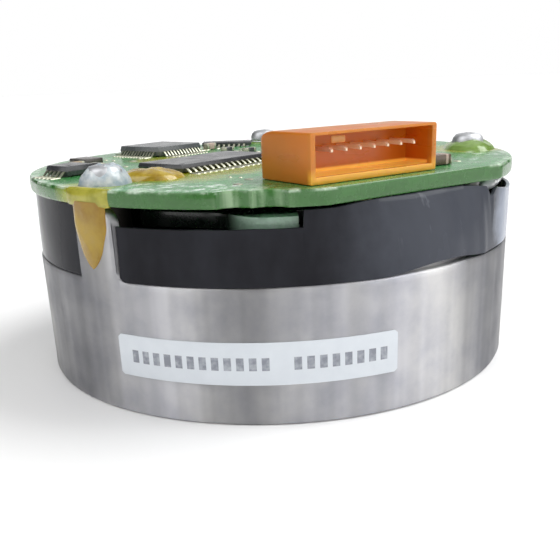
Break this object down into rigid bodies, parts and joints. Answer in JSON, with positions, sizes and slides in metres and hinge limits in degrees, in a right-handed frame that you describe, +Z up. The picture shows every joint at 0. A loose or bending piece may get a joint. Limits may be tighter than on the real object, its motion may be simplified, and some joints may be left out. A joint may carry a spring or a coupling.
{
  "type": "rotary encoder module",
  "caption": "Round rotary encoder module: aluminium housing, hollow shaft on ball bearings with a code disc, dust cover, circuit board and side-entry connector.",
  "frame": {"origin": "centre of the housing's underside, on the shaft axis", "axes": "+Z up along the shaft axis towards the circuit board, -Y out of the connector's mouth, +X completes the right-handed frame"},
  "size_m": [0.0502, 0.0501, 0.024],
  "materials": {
    "turned_aluminium": "fine-turned, satin",
    "cover_film": "thin glossy charcoal film with handling marks",
    "green_laminate": "green solder resist over glass laminate, glossy and slightly translucent",
    "label_paper": "white film label, satin",
    "bright_steel": "bright",
    "orange_moulding": "semi-translucent moulded plastic, satin",
    "pin_brass": "plated",
    "chip_plastic": "fine moulded, satin",
    "ceramic": "fired ceramic with tinned ends",
    "amber_adhesive": "cured amber adhesive, glossy",
    "clear_glass": "polished"
  },
  "bodies": {
    "base": {"adhesive_bead": "amber_adhesive", "adhesive_drip": "amber_adhesive", "board_link": "chip_plastic", "board_spacer_1": "pin_brass", "board_spacer_2": "pin_brass", "board_spacer_3": "pin_brass", "chip_capacitor_1": "ceramic", "chip_capacitor_2": "ceramic", "chip_capacitor_3": "ceramic", "chip_capacitor_4": "ceramic", "chip_resistor_1": "chip_plastic", "chip_resistor_2": "chip_plastic", "chip_resistor_3": "chip_plastic", "connector_pin_1": "pin_brass", "connector_pin_2": "pin_brass", "connector_pin_3": "pin_brass", "connector_pin_4": "pin_brass", "connector_pin_5": "pin_brass", "connector_pin_6": "pin_brass", "connector_pin_7": "pin_brass", "connector_shell": "orange_moulding", "decoder_chip": "chip_plastic", "detector": "chip_plastic", "driver_chip": "chip_plastic", "dust_cover": "cover_film", "housing": "turned_aluminium", "label": "label_paper", "lamp": "clear_glass", "lamp_holder": "chip_plastic", "lower_board": "green_laminate", "lower_outer_ring": "bright_steel", "main_board": "green_laminate", "memory_chip": "chip_plastic", "oscillator": "chip_plastic", "processor_chip": "chip_plastic", "retaining_ring": "bright_steel", "screw_back": "bright_steel", "screw_left": "bright_steel", "screw_right": "bright_steel", "tantalum_capacitor": "chip_plastic", "upper_outer_ring": "bright_steel", "washer_back": "bright_steel", "washer_left": "bright_steel", "washer_right": "bright_steel"},
    "rotor": {"shaft": "bright_steel", "disc_hub": "turned_aluminium", "code_disc": "clear_glass", "disc_clamp": "bright_steel", "drive_hub": "bright_steel", "grub_screw": "bright_steel", "lower_inner_ring": "bright_steel", "upper_inner_ring": "bright_steel", "bearing_spacer": "bright_steel"},
    "ball_sets": {"lower_ball_cage": "bright_steel", "upper_ball_cage": "bright_steel"}
  },
  "joints": [
    {"name": "shaft_spin", "type": "hinge", "parent": "base", "child": "rotor", "pos_m": [0, 0, 0.008], "axis": [0, 0, 1], "continuous": true},
    {"name": "ball_spin", "type": "hinge", "parent": "base", "child": "ball_sets", "pos_m": [0, 0, 0.008], "axis": [0, 0, 1], "continuous": true}
  ],
  "couplings": [
    {"joint": "ball_spin", "follows": "shaft_spin", "ratio": 0.4333}
  ]
}
